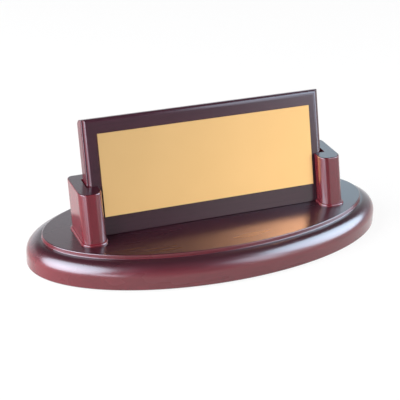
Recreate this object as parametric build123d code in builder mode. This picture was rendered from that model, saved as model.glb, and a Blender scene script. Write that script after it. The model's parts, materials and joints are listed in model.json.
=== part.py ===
from build123d import *
import os
from math import cos, radians, sin, tan

# Desk name plate: a blank metal plate on a leaning board that drops into two slotted posts on an oval base.
# Millimetres. X runs along the board, Y to the back, Z up. The origin is under the middle of the base.

# Name plate and the adhesive film behind it
plate_length = 150.0
plate_height = 54.5
plate_thick = 0.8
plate_off_centre = 0.4
film_thick = 0.2
film_inset = 1.0

# Board: a field with a shallow oval edge at its ends and top, and a tongue at each end behind it
# It stands a little to the left in its slots, and the plate is stuck on as much to the right of its middle
lean_degrees = 15.5
board_thick = 12.0
board_front_y = -12.0
board_off_centre = 0.4
plate_side_margin = 4.3
plate_top_margin = 6.3
plate_foot_margin = 12.8
edge_width = 3.4
edge_depth = 2.1
tongue_reach = 1.3
tongue_round = 1.0
back_round = 2.0
top_back_round = 8.0

# Posts: leaning blocks, cut level at foot and top, slotted on their inner side for the board's ends
post_height = 32.5
front_cheek = 10.2
back_cheek = 7.5
spine = 7.7
slot_hold = 6.6
slot_play = 0.5
end_play = 1.3
front_flat = 4.0
post_back_corner = 4.0
post_top_round = 0.7
lip_reach = 1.2
lip_height = 1.6
lip_round = 1.0

# Base: an oval with a quarter-round rim, a narrow ledge and a low riser up to the flat deck
base_end_reach = 32.0
base_width = 125.0
base_height = 20.0
rim_round = 9.2
rim_ledge = 1.4
riser_height = 3.0
riser_round = 0.7
riser_cove = 0.6
foot_round = 1.0

# Felt under the base
felt_thick = 1.0
felt_inset = 3.0

# Wood screws from below, two to a post
screw_dia = 3.0
screw_grip = 10.3
screw_tip = 4.0
screw_head_dia = 6.0
screw_head_rim = 0.3
screw_head_sink = 0.3
screw_sink_degrees = 90.0
screw_recess_length = 3.2
screw_recess_width = 0.9
screw_recess_depth = 1.1
screw_front_wall = 5.0
screw_back_wall = 2.5
screw_play = 0.1
pilot_spare = 1.0

# How far a cut runs past the faces that it opens
overrun = 1.0

# Board and slots, worked out from the plate outwards
lean = radians(lean_degrees)
board_length = plate_length + 2 * (plate_side_margin + edge_width + tongue_reach)
board_height = plate_foot_margin + plate_height + plate_top_margin + edge_width
field_flat = plate_length + 2 * plate_side_margin
field_top = board_height - edge_width
board_drop = board_thick * tan(lean) + overrun
slot_width = board_thick + 2 * slot_play

# Posts
post_inner_x = board_length / 2 - slot_hold
slot_end_x = board_length / 2 + end_play
post_outer_x = slot_end_x + spine
post_width = post_outer_x - post_inner_x
post_depth = front_cheek + slot_width + back_cheek
post_front_corner = (post_width - front_flat) / 2
post_mid_x = (post_inner_x + post_outer_x) / 2
post_mid_depth = post_depth / 2 - front_cheek - slot_play
post_reach = (post_height + post_depth) / cos(lean)
slot_cut = slot_end_x - post_inner_x + lip_reach + overrun

# Base
base_length = 2 * (post_outer_x + base_end_reach)
deck_z = felt_thick + base_height
ledge_z = deck_z - riser_height
deck_inset = rim_round + rim_ledge

# Posts where they stand on the deck, cut level
foot_depth = post_depth / cos(lean)
foot_mid_y = board_front_y + post_mid_depth / cos(lean)

# Screws, kept inside the leaning spine over their whole length in the post
screw_length = base_height - screw_head_sink + screw_grip
screw_cone_slope = tan(radians(screw_sink_degrees / 2))
screw_cone = (screw_head_dia - screw_dia) / 2 / screw_cone_slope
screw_x = slot_end_x + spine / 2
screw_front_y = foot_mid_y - foot_depth / 2 + screw_grip * tan(lean) + screw_front_wall + screw_dia / 2
screw_back_y = foot_mid_y + foot_depth / 2 - screw_back_wall - screw_dia / 2
screw_places = [(side * screw_x, y) for side in (-1, 1) for y in (screw_front_y, screw_back_y)]
sink_radius = screw_head_dia / 2 + (screw_head_sink + screw_head_rim) * screw_cone_slope + screw_play

# The board's front face, with local Y up the board, its plan, with local Y through it, and its side
board_foot = (-board_off_centre, board_front_y, deck_z)
board_plane = Plane(origin=board_foot, x_dir=(1, 0, 0), z_dir=(0, -cos(lean), sin(lean)))
plan_plane = Plane(origin=board_foot, x_dir=(1, 0, 0), z_dir=(0, sin(lean), cos(lean)))
side_plane = Plane(origin=board_foot, x_dir=(0, cos(lean), -sin(lean)), z_dir=(1, 0, 0))

# The posts' plan, with local Y through the board
post_plane = Plane(origin=(0, board_front_y, deck_z), x_dir=(1, 0, 0), z_dir=(0, sin(lean), cos(lean)))

# Felt sheet glued to the underside, which hides the screw heads
with BuildPart() as base_felt:
    with BuildSketch():
        Ellipse(base_length / 2 - felt_inset, base_width / 2 - felt_inset)
    extrude(amount=felt_thick)

# Oval base
with BuildPart() as base:
    with BuildSketch(Plane.XY.offset(felt_thick)):
        Ellipse(base_length / 2, base_width / 2)
    extrude(amount=base_height - riser_height)
    fillet(base.faces().sort_by(Axis.Z)[-1].edges(), radius=rim_round)
    fillet(base.faces().sort_by(Axis.Z)[0].edges(), radius=foot_round)
    with BuildSketch(Plane.XY.offset(ledge_z)):
        Ellipse(base_length / 2 - deck_inset, base_width / 2 - deck_inset)
    extrude(amount=riser_height)
    fillet(base.faces().sort_by(Axis.Z)[-1].edges(), radius=riser_round)
    ledge_edges = base.edges().filter_by(lambda edge: abs(edge.center().Z - ledge_z) < riser_round)
    fillet(ledge_edges.sort_by(SortBy.LENGTH)[-2], radius=riser_cove)
    with Locations(*[Location((x, y, felt_thick), (180, 0, 0)) for x, y in screw_places]):
        CounterSinkHole(
            radius=screw_dia / 2 + screw_play,
            counter_sink_radius=sink_radius,
            counter_sink_angle=screw_sink_degrees,
        )

# Low bead round the foot of the right post
with BuildPart() as post_lip:
    with BuildSketch(Plane.XY.offset(deck_z)) as lip_plan:
        with Locations((post_mid_x, foot_mid_y)):
            Rectangle(post_width + 2 * lip_reach, foot_depth + 2 * lip_reach)
        fillet(lip_plan.vertices().group_by(Axis.Y)[0], radius=post_front_corner + lip_reach)
        fillet(lip_plan.vertices().group_by(Axis.Y)[-1], radius=post_back_corner + lip_reach)
    extrude(amount=lip_height)
    fillet(post_lip.faces().sort_by(Axis.Z)[-1].edges(), radius=lip_round)

# Right post, made with its bead as one piece
with BuildPart() as right_post:
    with BuildSketch(post_plane) as post_plan:
        with Locations((post_mid_x, post_mid_depth)):
            Rectangle(post_width, post_depth)
        fillet(post_plan.vertices().group_by(Axis.Y)[0], radius=post_front_corner)
        fillet(post_plan.vertices().group_by(Axis.Y)[-1], radius=post_back_corner)
    extrude(amount=post_reach, both=True)
    split(bisect_by=Plane.XY.offset(deck_z), keep=Keep.TOP)
    split(bisect_by=Plane.XY.offset(deck_z + post_height), keep=Keep.BOTTOM)
    fillet(right_post.faces().sort_by(Axis.Z)[-1].edges(), radius=post_top_round)
    add(post_lip.part)
    with BuildSketch(post_plane):
        with Locations((slot_end_x, -slot_play)):
            Rectangle(slot_cut, slot_width, align=(Align.MAX, Align.MIN))
    extrude(amount=post_reach, both=True, mode=Mode.SUBTRACT)
    with Locations(*[Location((screw_x, y, deck_z), (180, 0, 0)) for y in (screw_front_y, screw_back_y)]):
        Hole(radius=screw_dia / 2 + screw_play, depth=screw_grip + pilot_spare)

# Left post, the right one mirrored
with BuildPart() as left_post:
    mirror(right_post.part, about=Plane.YZ)

# One countersunk wood screw, head down, and the four places that take it
with BuildPart() as screw:
    with BuildSketch(Plane.XZ):
        with BuildLine():
            Polyline(
                (0, 0),
                (screw_head_dia / 2, 0),
                (screw_head_dia / 2, screw_head_rim),
                (screw_dia / 2, screw_head_rim + screw_cone),
                (screw_dia / 2, screw_length - screw_tip),
                (0, screw_length),
                close=True,
            )
        make_face()
    revolve(axis=Axis.Z)
    with BuildSketch():
        Rectangle(screw_recess_length, screw_recess_width)
        Rectangle(screw_recess_width, screw_recess_length)
    extrude(amount=screw_recess_depth, mode=Mode.SUBTRACT)

with BuildPart() as post_screws:
    with Locations(*[(x, y, felt_thick + screw_head_sink) for x, y in screw_places]):
        add(screw.part)

# Board, leaning back: its plan drawn up the lean, shaped at the top, and cut level to stand on the deck
with BuildPart() as plaque_board:
    with BuildSketch(plan_plane.offset(-board_drop)) as board_plan:
        with Locations((0, edge_depth)):
            Rectangle(board_length, board_thick - edge_depth, align=(Align.CENTER, Align.MIN))
        fillet(board_plan.vertices().group_by(Axis.Y)[0], radius=tongue_round)
        fillet(board_plan.vertices().group_by(Axis.Y)[-1], radius=back_round)
        Rectangle(field_flat, board_thick - back_round, align=(Align.CENTER, Align.MIN))
        with Locations((-field_flat / 2, edge_depth), (field_flat / 2, edge_depth)):
            Ellipse(edge_width, edge_depth)
    extrude(amount=board_drop + board_height)
    with BuildSketch(side_plane) as board_side:
        with Locations((edge_depth, -board_drop)):
            Rectangle(board_thick - edge_depth, board_drop + board_height, align=(Align.MIN, Align.MIN))
        fillet(board_side.vertices().group_by(Axis.Y)[-1].sort_by(Axis.X)[-1], radius=top_back_round)
        with Locations((0, -board_drop)):
            Rectangle(2 * edge_depth, board_drop + field_top, align=(Align.MIN, Align.MIN))
        with Locations((edge_depth, field_top)):
            Ellipse(edge_depth, edge_width)
    extrude(amount=board_length, both=True, mode=Mode.INTERSECT)
    split(bisect_by=Plane.XY.offset(deck_z), keep=Keep.TOP)

# Adhesive film between the board and the plate
with BuildPart() as plate_adhesive:
    with BuildSketch(board_plane):
        with Locations((plate_off_centre, plate_foot_margin + plate_height / 2)):
            Rectangle(plate_length - 2 * film_inset, plate_height - 2 * film_inset)
    extrude(amount=film_thick)

# Blank name plate
with BuildPart() as name_plate:
    with BuildSketch(board_plane.offset(film_thick)):
        with Locations((plate_off_centre, plate_foot_margin + plate_height / 2)):
            Rectangle(plate_length, plate_height)
    extrude(amount=plate_thick)

base_felt.part.label = "base_felt"
base.part.label = "base"
left_post.part.label = "left_post"
right_post.part.label = "right_post"
post_screws.part.label = "post_screws"
plaque_board.part.label = "plaque_board"
plate_adhesive.part.label = "plate_adhesive"
name_plate.part.label = "name_plate"

os.makedirs("parts", exist_ok=True)
export_step(base_felt.part, "parts/base_felt.step")
export_step(base.part, "parts/base.step")
export_step(left_post.part, "parts/left_post.step")
export_step(right_post.part, "parts/right_post.step")
export_step(post_screws.part, "parts/post_screws.step")
export_step(plaque_board.part, "parts/plaque_board.step")
export_step(plate_adhesive.part, "parts/plate_adhesive.step")
export_step(name_plate.part, "parts/name_plate.step")
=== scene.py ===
import json
from math import cos, pi, radians, sin

import bmesh
import bpy
from mathutils import Matrix, Quaternion, Vector


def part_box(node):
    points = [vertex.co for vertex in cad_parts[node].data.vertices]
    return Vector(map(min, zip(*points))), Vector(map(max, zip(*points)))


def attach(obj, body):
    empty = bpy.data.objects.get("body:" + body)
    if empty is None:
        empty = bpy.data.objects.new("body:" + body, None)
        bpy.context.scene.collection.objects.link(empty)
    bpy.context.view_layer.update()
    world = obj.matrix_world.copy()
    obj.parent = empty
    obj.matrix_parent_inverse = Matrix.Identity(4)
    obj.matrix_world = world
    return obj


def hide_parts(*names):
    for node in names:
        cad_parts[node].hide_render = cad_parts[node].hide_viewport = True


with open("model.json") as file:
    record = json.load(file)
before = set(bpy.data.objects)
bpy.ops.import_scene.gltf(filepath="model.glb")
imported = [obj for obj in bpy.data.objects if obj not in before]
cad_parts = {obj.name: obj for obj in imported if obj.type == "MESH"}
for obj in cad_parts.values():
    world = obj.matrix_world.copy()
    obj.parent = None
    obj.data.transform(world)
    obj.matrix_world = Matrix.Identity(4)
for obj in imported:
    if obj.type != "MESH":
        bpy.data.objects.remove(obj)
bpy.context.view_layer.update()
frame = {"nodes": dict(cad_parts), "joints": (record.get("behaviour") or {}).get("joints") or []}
mm = 0.001
tiny = 0.01 * mm
weldDistance = 0.1 * tiny
up = Vector((0, 0, 1))
across = Vector((1, 0, 0))
print("frame loaded:", ", ".join(sorted(frame["nodes"])))

# The plaque leans along its lift joint, and everything stands on the deck
liftAxis = Vector(frame["joints"][0]["axis"]).normalized()
leanSlope = liftAxis.y / liftAxis.z
leanCos = liftAxis.z
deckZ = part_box("base")[1].z


# Camera, as the photograph was taken

camera = {
    "aim": (-5.27 * mm, 0, 29.86 * mm),
    "yaw": 22.504,      # degrees, to the reader's left of the plate
    "pitch": 26.544,    # looking down
    "roll": 1.297,
    "distance": 804.58 * mm,
    "lens": 107.51,
    "sensor": 36.0,
    "clip": (10 * mm, 100),
}


def makeCamera(form):
    yaw, pitch = radians(form["yaw"]), radians(form["pitch"])
    forward = Vector((sin(yaw) * cos(pitch), cos(yaw) * cos(pitch), -sin(pitch)))
    lens = bpy.data.cameras.new("camera")
    lens.lens = form["lens"]
    lens.sensor_width = form["sensor"]
    lens.clip_start, lens.clip_end = form["clip"]
    eye = bpy.data.objects.new("camera", lens)
    bpy.context.scene.collection.objects.link(eye)
    eye.location = Vector(form["aim"]) - forward * form["distance"]
    eye.rotation_mode = "QUATERNION"
    eye.rotation_quaternion = forward.to_track_quat("-Z", "Y") @ Quaternion(up, radians(form["roll"]))
    bpy.context.scene.camera = eye


makeCamera(camera)
print("camera placed")


# Node helpers

noiseRoughness = 0.55


def newMaterial(name):
    material = bpy.data.materials.new(name)
    material.use_nodes = True
    material.node_tree.nodes.clear()
    return material, material.node_tree


def addNode(tree, kind, **settings):
    node = tree.nodes.new(kind)
    for key, value in settings.items():
        setattr(node, key, value)
    return node


def setInputs(node, values):
    for key, value in values.items():
        node.inputs[key].default_value = value


def mathNode(tree, operation, first, second):
    node = addNode(tree, "ShaderNodeMath", operation=operation)
    for place, value in enumerate((first, second)):
        if isinstance(value, (int, float)):
            node.inputs[place].default_value = value
        else:
            tree.links.new(value, node.inputs[place])
    return node.outputs[0]


def mapRange(tree, value, fromSpan, toSpan, kind="LINEAR"):
    node = addNode(tree, "ShaderNodeMapRange", interpolation_type=kind)
    setInputs(node, {"From Min": fromSpan[0], "From Max": fromSpan[1]})
    setInputs(node, {"To Min": toSpan[0], "To Max": toSpan[1]})
    tree.links.new(value, node.inputs["Value"])
    return node.outputs[0]


def noiseAlong(tree, vector, form):
    mapping = addNode(tree, "ShaderNodeMapping")
    mapping.inputs["Scale"].default_value = form["stretch"]
    tree.links.new(vector, mapping.inputs["Vector"])
    noise = addNode(tree, "ShaderNodeTexNoise")
    setInputs(noise, {"Scale": form["scale"], "Detail": form["detail"], "Roughness": noiseRoughness})
    tree.links.new(mapping.outputs["Vector"], noise.inputs["Vector"])
    return noise.outputs["Fac"]


def closeMaterial(tree, surface):
    result = addNode(tree, "ShaderNodeOutputMaterial")
    tree.links.new(surface.outputs[0], result.inputs["Surface"])


# Wood grain under the lacquer: broad figure, fine fibres and short pores, with the fibres along the local X

woodNoise = {
    "figure": {"stretch": (0.12, 1, 1), "scale": 45, "detail": 3},
    "fibres": {"stretch": (0.03, 1, 1), "scale": 900, "detail": 2},
    "pores": {"stretch": (0.05, 1, 1), "scale": 1600, "detail": 1},
    "middle": (0.3, 0.7),           # where a noise has most of its values
    "figureShare": 0.7,
    "poreStart": (0.60, 0.74),
    "poreDark": 0.35,
    "sheen": (0.24, 0.34),          # roughness of the wood below its coat
}


def makeGrainGroup(form):
    tree = bpy.data.node_groups.new("woodGrain", "ShaderNodeTree")
    face = tree.interface
    face.new_socket("Vector", in_out="INPUT", socket_type="NodeSocketVector")
    for name in ("Dark stain", "Light stain"):
        face.new_socket(name, in_out="INPUT", socket_type="NodeSocketColor")
    face.new_socket("Stain", in_out="OUTPUT", socket_type="NodeSocketColor")
    face.new_socket("Sheen", in_out="OUTPUT", socket_type="NodeSocketFloat")
    face.new_socket("Fibres", in_out="OUTPUT", socket_type="NodeSocketFloat")
    inside = addNode(tree, "NodeGroupInput")
    outside = addNode(tree, "NodeGroupOutput")
    vector = inside.outputs["Vector"]
    figure = noiseAlong(tree, vector, form["figure"])
    fibres = noiseAlong(tree, vector, form["fibres"])
    pores = noiseAlong(tree, vector, form["pores"])
    broad = mathNode(tree, "MULTIPLY", figure, form["figureShare"])
    fine = mathNode(tree, "MULTIPLY", fibres, 1 - form["figureShare"])
    level = mapRange(tree, mathNode(tree, "ADD", broad, fine), form["middle"], (0, 1))
    poreMask = mapRange(tree, pores, form["poreStart"], (0, form["poreDark"]), "SMOOTHSTEP")
    blend = addNode(tree, "ShaderNodeMix", data_type="RGBA", clamp_factor=True)
    tree.links.new(mathNode(tree, "SUBTRACT", level, poreMask), blend.inputs["Factor"])
    tree.links.new(inside.outputs["Dark stain"], blend.inputs["A"])
    tree.links.new(inside.outputs["Light stain"], blend.inputs["B"])
    tree.links.new(blend.outputs["Result"], outside.inputs["Stain"])
    tree.links.new(mapRange(tree, figure, form["middle"], form["sheen"]), outside.inputs["Sheen"])
    tree.links.new(fibres, outside.inputs["Fibres"])
    return tree


woodGrain = makeGrainGroup(woodNoise)


# Stained wood under gloss lacquer, with painted shade: a darker colour multiplied over a piece's broad
# faces, by how much each face looks along an axis

cherryStain = {"dark": (0.100, 0.0080, 0.0140, 1), "light": (0.145, 0.0125, 0.0210, 1)}
rosewoodStain = {"dark": (0.062, 0.0080, 0.0140, 1), "light": (0.088, 0.0125, 0.0210, 1)}
lacquer = {
    "ior": 1.5,
    "coatRoughness": 0.20,
    "fibreDepth": 0.002 * mm,
    "fibreStrength": 0.35,
}
paintedShadeAttribute = "paintedShade"


# Painted shade mask: per corner, how much the face looks along the axis, above a given height
def markPaintedShade(piece, axis, lowest):
    mesh = piece.data
    mask = mesh.attributes.new(paintedShadeAttribute, "FLOAT", "CORNER")
    for loop, corner, normal in zip(mesh.loops, mask.data, mesh.corner_normals):
        facing = abs(normal.vector.dot(axis))
        corner.value = facing if mesh.vertices[loop.vertex_index].co.z > lowest else 0


def lacqueredWood(name, stain, finish):
    material, tree = newMaterial(name)
    place = addNode(tree, "ShaderNodeTexCoord")
    turned = addNode(tree, "ShaderNodeMapping")
    turned.inputs["Rotation"].default_value = finish["grainTurn"]
    tree.links.new(place.outputs["Object"], turned.inputs["Vector"])
    grain = addNode(tree, "ShaderNodeGroup", node_tree=woodGrain)
    setInputs(grain, {"Dark stain": stain["dark"], "Light stain": stain["light"]})
    tree.links.new(turned.outputs["Vector"], grain.inputs["Vector"])
    # Painted shade: the stain is multiplied by a darker colour where the mask says the face looks along the
    # axis
    facing = addNode(tree, "ShaderNodeAttribute", attribute_name=paintedShadeAttribute)
    paintedShadeZone = mapRange(tree, facing.outputs["Fac"], finish["paintedShadeSpan"], (0, 1), "SMOOTHSTEP")
    paintedShadeMix = addNode(tree, "ShaderNodeMix", data_type="RGBA", blend_type="MULTIPLY")
    setInputs(paintedShadeMix, {"B": finish["paintedShade"]})
    tree.links.new(paintedShadeZone, paintedShadeMix.inputs["Factor"])
    tree.links.new(grain.outputs["Stain"], paintedShadeMix.inputs["A"])
    bump = addNode(tree, "ShaderNodeBump")
    setInputs(bump, {"Strength": lacquer["fibreStrength"], "Distance": lacquer["fibreDepth"]})
    tree.links.new(grain.outputs["Fibres"], bump.inputs["Height"])
    surface = addNode(tree, "ShaderNodeBsdfPrincipled")
    setInputs(surface, {
        "IOR": lacquer["ior"],
        "Specular IOR Level": finish["underGloss"],
        "Coat Weight": 1.0,
        "Coat Roughness": lacquer["coatRoughness"],
        "Coat IOR": lacquer["ior"],
    })
    tree.links.new(paintedShadeMix.outputs["Result"], surface.inputs["Base Color"])
    tree.links.new(grain.outputs["Sheen"], surface.inputs["Roughness"])
    tree.links.new(bump.outputs["Normal"], surface.inputs["Normal"])
    closeMaterial(tree, surface)
    return material


print("wood finish ready")


# Mesh helpers

roundProfile = 0.5      # a bevel that is a quarter of a circle
sharpAngle = radians(32)


def boxBetween(bm, low, high):
    low, high = Vector(low), Vector(high)
    place = Matrix.Translation((low + high) / 2) @ Matrix.Diagonal((*(high - low), 1))
    return bmesh.ops.create_cube(bm, size=1, matrix=place)["verts"]


def edgesWhere(bm, test):
    return [edge for edge in bm.edges if test(*(vert.co for vert in edge.verts))]


def levelRing(bm, z):
    return edgesWhere(bm, lambda a, b: abs(a.z - z) < tiny and abs(b.z - z) < tiny)


def roundEdges(bm, edges, radius, segments):
    bmesh.ops.bevel(bm, geom=edges, offset=radius, offset_type="OFFSET", affect="EDGES", segments=segments,
                    profile=roundProfile, material=-1, clamp_overlap=False)


def roundedBlock(bm, low, high, frontCorner, backCorner, segments):
    boxBetween(bm, low, high)
    upright = edgesWhere(bm, lambda a, b: abs(a.z - b.z) > tiny)
    front = [edge for edge in upright if abs(edge.verts[0].co.y - low[1]) < tiny]
    back = [edge for edge in upright if abs(edge.verts[0].co.y - high[1]) < tiny]
    roundEdges(bm, front, frontCorner, segments)
    if backCorner:
        roundEdges(bm, back, backCorner, segments)


def newObject(name, bm):
    bmesh.ops.remove_doubles(bm, verts=bm.verts, dist=weldDistance)
    bmesh.ops.recalc_face_normals(bm, faces=bm.faces)
    mesh = bpy.data.meshes.new(name)
    bm.to_mesh(mesh)
    bm.free()
    piece = bpy.data.objects.new(name, mesh)
    bpy.context.scene.collection.objects.link(piece)
    return piece


def combine(piece, tool, operation):
    step = piece.modifiers.new("combine", "BOOLEAN")
    step.object = tool
    step.operation = operation
    step.solver = "EXACT"
    bpy.context.view_layer.update()
    before = piece.data
    piece.data = bpy.data.meshes.new_from_object(piece.evaluated_get(bpy.context.evaluated_depsgraph_get()))
    piece.data.name = piece.name
    piece.modifiers.clear()
    bpy.data.meshes.remove(before)
    bpy.data.objects.remove(tool)


def finishPiece(piece, material, body, node):
    piece.data.materials.clear()
    piece.data.materials.append(material)
    piece.data.shade_smooth()
    piece.data.set_sharp_from_angle(angle=sharpAngle)
    flat = piece.modifiers.new("flatFaces", "WEIGHTED_NORMAL")
    flat.mode = "FACE_AREA"
    flat.keep_sharp = True
    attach(piece, body)
    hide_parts(node)


# Screw holes, as the screws need them

screwFit = {"shank": 3.0 * mm, "play": 0.1 * mm, "sinkRadius": 3.7 * mm, "spare": 1.0 * mm, "segments": 32}
screwLow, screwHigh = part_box("post_screws")


def screwCentres():
    middle = (screwLow + screwHigh) / 2
    centres = {}
    for vert in frame["nodes"]["post_screws"].data.vertices:
        key = (vert.co.x > middle.x, vert.co.y > middle.y)
        low, high = centres.get(key, (vert.co.copy(), vert.co.copy()))
        centres[key] = (Vector(map(min, low, vert.co)), Vector(map(max, high, vert.co)))
    return [(low + high) / 2 for low, high in centres.values()]


def screwHoles(name, lowZ, highZ, mouth):
    radius = screwFit["shank"] / 2 + screwFit["play"]
    rings = [(0, lowZ - screwFit["spare"]), (mouth, lowZ - screwFit["spare"]), (mouth, lowZ)]
    rings += [(radius, lowZ + mouth - radius), (radius, highZ), (0, highZ)]
    bm = bmesh.new()
    for centre in screwCentres():
        profile = [bm.verts.new((centre.x + reach, centre.y, z)) for reach, z in rings]
        edges = [bm.edges.new(pair) for pair in zip(profile, profile[1:])]
        bmesh.ops.spin(bm, geom=profile + edges, cent=centre, axis=up, angle=2 * pi,
                       steps=screwFit["segments"], use_merge=True)
    return newObject(name, bm)


# Oval base: a rounded rim, a narrow ledge and a low riser up to the deck

baseForm = {
    "segments": 320,
    "rimRound": 9.2 * mm,
    "rimSegments": 20,
    "rimLedge": 1.4 * mm,
    "riserHeight": 3.0 * mm,
    "riserRound": 0.7 * mm,
    "riserCove": 0.6 * mm,
    "footRound": 1.0 * mm,
    "smallSegments": 6,
}
baseFinish = {
    "grainTurn": (0, 0, 0),
    # Painted shade on the base: faces that look up are darkened, the deck most, fading down the rim
    "paintedShade": (0.18, 0.50, 0.55, 1),
    "paintedShadeSpan": (0.1, 1.12),       # darkest where a face looks up
    "underGloss": 0.25,
}


def ovalSlab(bm, halfLength, halfWidth, lowZ, highZ, segments):
    place = Matrix.Translation((0, 0, lowZ)) @ Matrix.Diagonal((halfLength, halfWidth, 1, 1))
    ring = bmesh.ops.create_circle(bm, cap_ends=True, segments=segments, radius=1, matrix=place)["verts"]
    foot = ring[0].link_faces[0]
    grown = bmesh.ops.extrude_face_region(bm, geom=[foot])["geom"]
    raised = [item for item in grown if isinstance(item, bmesh.types.BMVert)]
    bmesh.ops.translate(bm, verts=raised, vec=(0, 0, highZ - lowZ))
    return foot


def makeBase(form):
    low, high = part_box("base")
    halfLength, halfWidth = (high.x - low.x) / 2, (high.y - low.y) / 2
    ledgeZ = high.z - form["riserHeight"]
    inset = form["rimRound"] + form["rimLedge"]
    bm = bmesh.new()
    ovalSlab(bm, halfLength, halfWidth, low.z, ledgeZ, form["segments"])
    roundEdges(bm, levelRing(bm, low.z), form["footRound"], form["smallSegments"])
    roundEdges(bm, levelRing(bm, ledgeZ), form["rimRound"], form["rimSegments"])
    ledgeFace = max(bm.faces, key=lambda face: face.calc_center_median().z)
    rimInner = list(ledgeFace.edges)
    bmesh.ops.delete(bm, geom=[ledgeFace], context="FACES_ONLY")
    riserFoot = ovalSlab(bm, halfLength - inset, halfWidth - inset, ledgeZ, high.z, form["segments"])
    riserInner = list(riserFoot.edges)
    bmesh.ops.delete(bm, geom=[riserFoot], context="FACES_ONLY")
    bmesh.ops.bridge_loops(bm, edges=rimInner + riserInner)
    roundEdges(bm, riserInner, form["riserCove"], form["smallSegments"])
    roundEdges(bm, levelRing(bm, high.z), form["riserRound"], form["smallSegments"])
    base = newObject("oval_base", bm)
    holes = screwHoles("baseHoles", low.z, high.z + screwFit["spare"], screwFit["sinkRadius"])
    combine(base, holes, "DIFFERENCE")
    cherryBase = lacqueredWood("cherryBase", cherryStain, baseFinish)
    finishPiece(base, cherryBase, "stand", "base")
    # painted shade mask: faces that look up, at every height
    markPaintedShade(base, up, low.z)


makeBase(baseForm)
print("oval base modelled")


# Posts: leaning blocks with a low bead round the foot and a slot for the board's end

postForm = {
    "depth": 30.7 * mm,
    "frontCorner": 5.8 * mm,
    "backCorner": 4.0 * mm,
    "cornerSegments": 20,
    "topRound": 0.7 * mm,
    "beadReach": 1.2 * mm,
    "beadHeight": 1.6 * mm,
    "beadRound": 1.0 * mm,
    "smallSegments": 6,
    "frontCheek": 10.2 * mm,
    "slotWidth": 13.0 * mm,
    "spine": 7.7 * mm,
    "overrun": 2.0 * mm,
}
postFinish = {
    "grainTurn": (0, radians(90), 0),
    # Painted shade on the posts: their level tops are darkened
    "paintedShade": (0.18, 0.50, 0.55, 1),
    "paintedShadeSpan": (0.62, 1.04),
    "paintedShadeDepth": 2.0 * mm,         # only the top gets the painted shade
    "underGloss": 0.06,
}
cherryPost = lacqueredWood("cherryPost", cherryStain, postFinish)


def makePost(name, node, side, form):
    low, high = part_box(node)
    bead = form["beadReach"]
    nearX = side * (min(abs(low.x), abs(high.x)) + bead)
    farX = side * (max(abs(low.x), abs(high.x)) - bead)
    slotX = farX - side * form["spine"]
    height = high.z - low.z
    # from an upright block, square to the board, to its place: stretched to a level foot, then leaned back
    lean = Matrix.Translation((0, low.y + bead, low.z)) @ Matrix.Shear("XY", 4, (0, leanSlope))
    lean = lean @ Matrix.Diagonal((1, 1 / leanCos, 1, 1))

    bm = bmesh.new()
    roundedBlock(bm, (nearX, 0, 0), (farX, form["depth"], height),
                 form["frontCorner"], form["backCorner"], form["cornerSegments"])
    bmesh.ops.transform(bm, matrix=lean, verts=bm.verts)
    roundEdges(bm, levelRing(bm, high.z), form["topRound"], form["smallSegments"])
    post = newObject(name, bm)

    bm = bmesh.new()
    beadBack = low.y + form["depth"] / leanCos + 2 * bead
    beadTop = low.z + form["beadHeight"]
    roundedBlock(bm, (nearX - side * bead, low.y, low.z), (farX + side * bead, beadBack, beadTop),
                 form["frontCorner"] + bead, form["backCorner"] + bead, form["cornerSegments"])
    roundEdges(bm, levelRing(bm, beadTop), form["beadRound"], form["smallSegments"])
    combine(post, newObject(name + "Bead", bm), "UNION")

    bm = bmesh.new()
    past = form["overrun"]
    slotBack = form["frontCheek"] + form["slotWidth"]
    boxBetween(bm, (nearX - side * past, form["frontCheek"], -past), (slotX, slotBack, height + past))
    bmesh.ops.transform(bm, matrix=lean, verts=bm.verts)
    combine(post, newObject(name + "Slot", bm), "DIFFERENCE")
    pilot = screwFit["shank"] / 2 + screwFit["play"]
    combine(post, screwHoles(name + "Holes", low.z, screwHigh.z + screwFit["spare"], pilot), "DIFFERENCE")
    finishPiece(post, cherryPost, "stand", node)
    # painted shade mask on the post's top
    markPaintedShade(post, up, high.z - postFinish["paintedShadeDepth"])


makePost("post_left", "left_post", -1, postForm)
makePost("post_right", "right_post", 1, postForm)
print("posts modelled")


# Board: a field with a shallow oval edge at its ends and top, a tongue at each end, and a foot that is
# cut level and eased in front, where it leaves a dark line on the deck

boardForm = {
    "thick": 12.0 * mm,
    "height": 77.0 * mm,
    "frontY": -12.0 * mm,
    "edgeWidth": 3.4 * mm,
    "edgeDepth": 2.1 * mm,
    "tongueReach": 1.3 * mm,
    "tongueRound": 1.0 * mm,
    "backRound": 2.0 * mm,
    "topBackRound": 8.0 * mm,
    "footEase": 0.9 * mm,
    "segments": 16,
    "overrun": 12.0 * mm,
}
boardFinish = {
    "grainTurn": (0, 0, 0),
    # Painted shade on the board: its front and back are darkened, its ends are not
    "paintedShade": (0.48, 0.95, 1.0, 1),
    "paintedShadeSpan": (0.60, 0.15),      # all but the ends
    "underGloss": 0.0,
}


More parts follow.
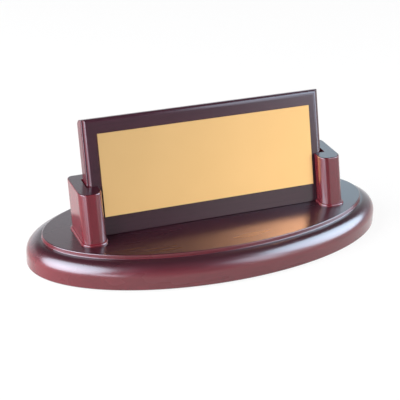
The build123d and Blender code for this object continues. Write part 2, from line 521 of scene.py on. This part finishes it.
def makeBoard(form):
    low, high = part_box("plaque_board")
    thick, top, past = form["thick"], form["height"], form["overrun"]
    reach, edge, depth = form["tongueReach"], form["edgeWidth"], form["edgeDepth"]
    # an edge is rounded while the board is this much thicker, which leaves it oval
    squash = depth / edge
    oval = Matrix.Diagonal((1, squash, 1, 1))

    # local X along the board, Y through it to the back and Z up it
    bm = bmesh.new()
    roundedBlock(bm, (low.x, depth, -past), (high.x, thick, top + past),
                 form["tongueRound"], form["backRound"], form["segments"])
    board = newObject("board", bm)

    bm = bmesh.new()
    fieldBack = thick - form["backRound"]
    roundedBlock(bm, (low.x + reach, 0, -past), (high.x - reach, fieldBack / squash, top + past),
                 edge, 0, form["segments"])
    bmesh.ops.transform(bm, matrix=oval, verts=bm.verts)
    combine(board, newObject("boardField", bm), "UNION")

    bm = bmesh.new()
    boxBetween(bm, (low.x - past, 0, -past), (high.x + past, thick / squash, top))
    along = edgesWhere(bm, lambda a, b: abs(a.x - b.x) > tiny and abs(a.z - top) < tiny)
    along.sort(key=lambda line: line.verts[0].co.y)
    roundEdges(bm, along[:1], edge, form["segments"])
    bmesh.ops.transform(bm, matrix=oval, verts=bm.verts)
    roundEdges(bm, along[1:], form["topBackRound"], form["segments"])
    everything = bm.verts[:] + bm.edges[:] + bm.faces[:]
    level = (0, -liftAxis.y, liftAxis.z)
    cut = bmesh.ops.bisect_plane(bm, geom=everything, plane_co=(0, 0, 0), plane_no=level, clear_inner=True)
    rim = [item for item in cut["geom_cut"] if isinstance(item, bmesh.types.BMEdge)]
    bmesh.ops.holes_fill(bm, edges=rim, sides=0)
    footFront = edgesWhere(bm, lambda a, b: abs(a.x - b.x) > tiny and a.yz.length < tiny)
    roundEdges(bm, footFront, form["footEase"], form["segments"])
    combine(board, newObject("boardSide", bm), "INTERSECT")

    place = Matrix((across, liftAxis.cross(across), liftAxis)).transposed().to_4x4()
    board.data.transform(Matrix.Translation((0, form["frontY"], deckZ)) @ place)
    rosewood = lacqueredWood("rosewoodBoard", rosewoodStain, boardFinish)
    finishPiece(board, rosewood, "plaque", "plaque_board")
    # painted shade mask: how much a face looks along the board
    markPaintedShade(board, across, low.z - past)     # at every height


makeBoard(boardForm)
print("board modelled")


# Felt under the base, a sheet cut to the oval

feltForm = {"segments": 192, "edgeRound": 0.3 * mm, "edgeSegments": 3}
blackFelt = {
    "dark": (0.010, 0.010, 0.012, 1),
    "light": (0.035, 0.035, 0.038, 1),
    "fibres": {"stretch": (1, 1, 1), "scale": 2500, "detail": 4},
    "fibreDepth": 0.15 * mm,
    "fibreStrength": 0.8,
    "roughness": 0.95,
    "sheen": 0.4,
}


def pressedFelt(name, finish):
    material, tree = newMaterial(name)
    place = addNode(tree, "ShaderNodeTexCoord")
    fibres = noiseAlong(tree, place.outputs["Object"], finish["fibres"])
    blend = addNode(tree, "ShaderNodeMix", data_type="RGBA")
    setInputs(blend, {"A": finish["dark"], "B": finish["light"]})
    tree.links.new(fibres, blend.inputs["Factor"])
    bump = addNode(tree, "ShaderNodeBump")
    setInputs(bump, {"Strength": finish["fibreStrength"], "Distance": finish["fibreDepth"]})
    tree.links.new(fibres, bump.inputs["Height"])
    surface = addNode(tree, "ShaderNodeBsdfPrincipled")
    setInputs(surface, {"Roughness": finish["roughness"], "Sheen Weight": finish["sheen"]})
    tree.links.new(blend.outputs["Result"], surface.inputs["Base Color"])
    tree.links.new(bump.outputs["Normal"], surface.inputs["Normal"])
    closeMaterial(tree, surface)
    return material


def makeFelt(form):
    low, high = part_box("base_felt")
    length, width = high.x - low.x, high.y - low.y
    bm = bmesh.new()
    ovalSlab(bm, length / 2, width / 2, low.z, high.z, form["segments"])
    roundEdges(bm, levelRing(bm, low.z), form["edgeRound"], form["edgeSegments"])
    felt = newObject("felt_pad", bm)
    finishPiece(felt, pressedFelt("pressedFelt", blackFelt), "stand", "base_felt")


makeFelt(feltForm)
print("felt modelled")


# The plate, its film and the screws keep their own meshes and get their finishes

goldSatin = {
    "dull": (0.87, 0.535, 0.215, 1),
    "bright": (0.93, 0.58, 0.242, 1),
    "cloud": {"stretch": (1, 1, 1), "scale": 25, "detail": 2},
    "rub": {"stretch": (0.4, 1, 1), "scale": 2600, "detail": 2},
    "rubMiddle": (0.3, 0.7),
    "roughness": (0.31, 0.34),
    "rubDepth": 0.0001 * mm,
    "rubStrength": 0.3,
}
zincPlating = {
    "dark": (0.42, 0.42, 0.41, 1),
    "light": (0.62, 0.62, 0.60, 1),
    "cloud": {"stretch": (1, 1, 1), "scale": 900, "detail": 3},
    "metallic": 1.0,
    "roughness": 0.38,
}
adhesiveFilm = {
    "dark": (0.62, 0.60, 0.54, 1),
    "light": (0.76, 0.74, 0.68, 1),
    "cloud": {"stretch": (1, 1, 1), "scale": 300, "detail": 3},
    "metallic": 0.0,
    "roughness": 0.55,
}


def satinGold(name, finish):
    material, tree = newMaterial(name)
    place = addNode(tree, "ShaderNodeTexCoord")
    rub = noiseAlong(tree, place.outputs["Object"], finish["rub"])
    cloud = noiseAlong(tree, place.outputs["Object"], finish["cloud"])
    blend = addNode(tree, "ShaderNodeMix", data_type="RGBA")
    setInputs(blend, {"A": finish["dull"], "B": finish["bright"]})
    tree.links.new(cloud, blend.inputs["Factor"])
    bump = addNode(tree, "ShaderNodeBump")
    setInputs(bump, {"Strength": finish["rubStrength"], "Distance": finish["rubDepth"]})
    tree.links.new(rub, bump.inputs["Height"])
    surface = addNode(tree, "ShaderNodeBsdfPrincipled")
    setInputs(surface, {"Metallic": 1.0})
    tree.links.new(blend.outputs["Result"], surface.inputs["Base Color"])
    satin = mapRange(tree, rub, finish["rubMiddle"], finish["roughness"])
    tree.links.new(satin, surface.inputs["Roughness"])
    tree.links.new(bump.outputs["Normal"], surface.inputs["Normal"])
    closeMaterial(tree, surface)
    return material


def mottled(name, finish):
    material, tree = newMaterial(name)
    place = addNode(tree, "ShaderNodeTexCoord")
    cloud = noiseAlong(tree, place.outputs["Object"], finish["cloud"])
    blend = addNode(tree, "ShaderNodeMix", data_type="RGBA")
    setInputs(blend, {"A": finish["dark"], "B": finish["light"]})
    tree.links.new(cloud, blend.inputs["Factor"])
    surface = addNode(tree, "ShaderNodeBsdfPrincipled")
    setInputs(surface, {"Metallic": finish["metallic"], "Roughness": finish["roughness"]})
    tree.links.new(blend.outputs["Result"], surface.inputs["Base Color"])
    closeMaterial(tree, surface)
    return material


def dress(node, material):
    for holder in frame["nodes"][node].material_slots:
        holder.material = material


dress("name_plate", satinGold("satinGold", goldSatin))
dress("plate_adhesive", mottled("adhesiveFilm", adhesiveFilm))
dress("post_screws", mottled("zincPlating", zincPlating))
print("plate, film and screws dressed")


# Studio: a softbox on each side and weaker cards, where the photograph's gloss shows them
# A fill lights the colours, a glow only shows in the gloss, and azimuths run from the front to the right
# A plate entry links a glow to the gold plate, so that it shows there alone or everywhere but there

fillLamps = {
    "leftFill": {
        "azimuth": -88, "elevation": 23, "roll": 0, "distance": 1.0,
        "size": (1.18, 1.50), "watts": 33,
    },
    "rightFill": {
        "azimuth": 69, "elevation": 33, "roll": 0, "distance": 1.0,
        "size": (0.98, 1.13), "watts": 9.7,
    },
}
glowLamps = {
    "leftGlow": {
        "azimuth": -71, "elevation": 30, "roll": 12, "distance": 1.32,
        "size": (1.56, 1.98), "watts": 46, "tint": (0.70, 0.85, 1.0),
    },
    "rightGlow": {
        "azimuth": 71, "elevation": 32, "roll": 0, "distance": 1.32,
        "size": (1.26, 1.33), "watts": 22, "tint": (0.62, 0.80, 0.98), "plate": "EXCLUDE",
    },
    "frontCard": {
        "azimuth": 46, "elevation": 3, "roll": 0, "distance": 1.32,
        "size": (1.35, 0.55), "watts": 1.08, "tint": (1.0, 0.98, 0.96),
    },
    "plateCard": {
        "azimuth": 63, "elevation": 52, "roll": 0, "distance": 0.5,
        "size": (0.16, 0.14), "watts": 0.41, "tint": (0.92, 0.77, 1.0), "plate": "INCLUDE",
    },
    "faceCard": {
        "azimuth": 17, "elevation": 14, "roll": 0, "distance": 1.32,
        "size": (0.90, 0.40), "watts": 0.14, "tint": (0.55, 0.70, 1.0), "plate": "INCLUDE",
    },
    "leftCard": {
        "azimuth": -35, "elevation": 4, "roll": 0, "distance": 1.32,
        "size": (0.44, 0.45), "watts": 1.1, "tint": (0.80, 0.86, 1.0),
    },
    "upperCard": {
        "azimuth": 32, "elevation": 29, "roll": 0, "distance": 1.32,
        "size": (0.38, 0.98), "watts": 1.9, "tint": (0.72, 0.84, 1.0), "plate": "EXCLUDE",
    },
    "backCard": {
        "azimuth": 149, "elevation": 26, "roll": 0, "distance": 1.32,
        "size": (0.37, 0.37), "watts": 0.12, "tint": (0.35, 0.75, 1.0),
    },
}
glowSpread = radians(110)   # a glow is brightest at its middle


def makeLamp(name, form):
    light = bpy.data.lights.new(name, "AREA")
    light.shape = "ELLIPSE"
    light.size, light.size_y = form["size"]
    light.energy = form["watts"]
    lamp = bpy.data.objects.new(name, light)
    bpy.context.scene.collection.objects.link(lamp)
    azimuth, elevation = radians(form["azimuth"]), radians(form["elevation"])
    towards = Vector((sin(azimuth) * cos(elevation), -cos(azimuth) * cos(elevation), sin(elevation)))
    lamp.location = towards * form["distance"]
    lamp.rotation_mode = "QUATERNION"
    lamp.rotation_quaternion = towards.to_track_quat("Z", "Y") @ Quaternion(up, radians(form["roll"]))
    return lamp


def linkToPlate(lamp, state):
    receivers = bpy.data.collections.new(lamp.name + "Receivers")
    receivers.objects.link(frame["nodes"]["name_plate"])
    receivers.collection_objects[0].light_linking.link_state = state
    lamp.light_linking.receiver_collection = receivers


for lampName, lampForm in fillLamps.items():
    fill = makeLamp(lampName, lampForm)
    fill.visible_glossy = False

for lampName, lampForm in glowLamps.items():
    glow = makeLamp(lampName, lampForm)
    glow.data.spread = glowSpread
    glow.data.color = lampForm["tint"]
    glow.visible_diffuse = False
    glow.visible_camera = False
    if "plate" in lampForm:
        linkToPlate(glow, lampForm["plate"])


# Room: a pale backdrop behind, darker in front and above

room = {
    "colour": (0.90, 0.94, 1.0, 1),
    "frontToBack": (0.2, 0.95),     # along +Y
    "levels": (0.47, 1.6),
    "ceiling": (0.38, 0.60),        # heights at which the backdrop fades
    "ceilingLevels": (1, 0.12),
}


def makeRoom(form):
    world = bpy.data.worlds.new("studioRoom")
    world.use_nodes = True
    bpy.context.scene.world = world
    tree = world.node_tree
    tree.nodes.clear()
    place = addNode(tree, "ShaderNodeTexCoord")
    split = addNode(tree, "ShaderNodeSeparateXYZ")
    tree.links.new(place.outputs["Generated"], split.inputs[0])
    depth = mapRange(tree, split.outputs["Y"], form["frontToBack"], form["levels"], "SMOOTHSTEP")
    rise = mapRange(tree, split.outputs["Z"], form["ceiling"], form["ceilingLevels"], "SMOOTHSTEP")
    backdrop = addNode(tree, "ShaderNodeBackground")
    backdrop.inputs["Color"].default_value = form["colour"]
    tree.links.new(mathNode(tree, "MULTIPLY", depth, rise), backdrop.inputs["Strength"])
    result = addNode(tree, "ShaderNodeOutputWorld")
    tree.links.new(backdrop.outputs[0], result.inputs["Surface"])


makeRoom(room)


# Floor: white to the camera apart from the shadow, and less white to the gloss further to the front

floorForm = {
    "radius": 8.0,
    "segments": 96,
    "colour": (0.82, 0.82, 0.82, 1),
    "shadowShare": 0.12,
    "frontFade": (-0.80, -0.35),
    "frontLevels": (0.25, 1),
}


def makeFloor(form):
    bm = bmesh.new()
    bmesh.ops.create_circle(bm, cap_ends=True, segments=form["segments"], radius=form["radius"])
    floor = newObject("floor", bm)
    material, tree = newMaterial("paleFloor")
    lit = addNode(tree, "ShaderNodeBsdfDiffuse")
    lit.inputs["Color"].default_value = form["colour"]
    place = addNode(tree, "ShaderNodeTexCoord")
    split = addNode(tree, "ShaderNodeSeparateXYZ")
    tree.links.new(place.outputs["Object"], split.inputs[0])
    fade = mapRange(tree, split.outputs["Y"], form["frontFade"], form["frontLevels"], "SMOOTHSTEP")
    ray = addNode(tree, "ShaderNodeLightPath")
    direct = mathNode(tree, "ADD", ray.outputs["Is Camera Ray"], ray.outputs["Is Transmission Ray"])
    mirrored = mathNode(tree, "MULTIPLY", ray.outputs["Is Glossy Ray"], fade)
    white = addNode(tree, "ShaderNodeEmission")
    tree.links.new(mathNode(tree, "ADD", direct, mirrored), white.inputs["Strength"])
    seen = mathNode(tree, "ADD", direct, ray.outputs["Is Glossy Ray"])
    mix = addNode(tree, "ShaderNodeMixShader")
    tree.links.new(mathNode(tree, "MULTIPLY", seen, 1 - form["shadowShare"]), mix.inputs[0])
    tree.links.new(lit.outputs[0], mix.inputs[1])
    tree.links.new(white.outputs[0], mix.inputs[2])
    closeMaterial(tree, mix)
    floor.data.materials.append(material)


makeFloor(floorForm)
bpy.context.scene.view_settings.view_transform = "Standard"
print("studio lit")
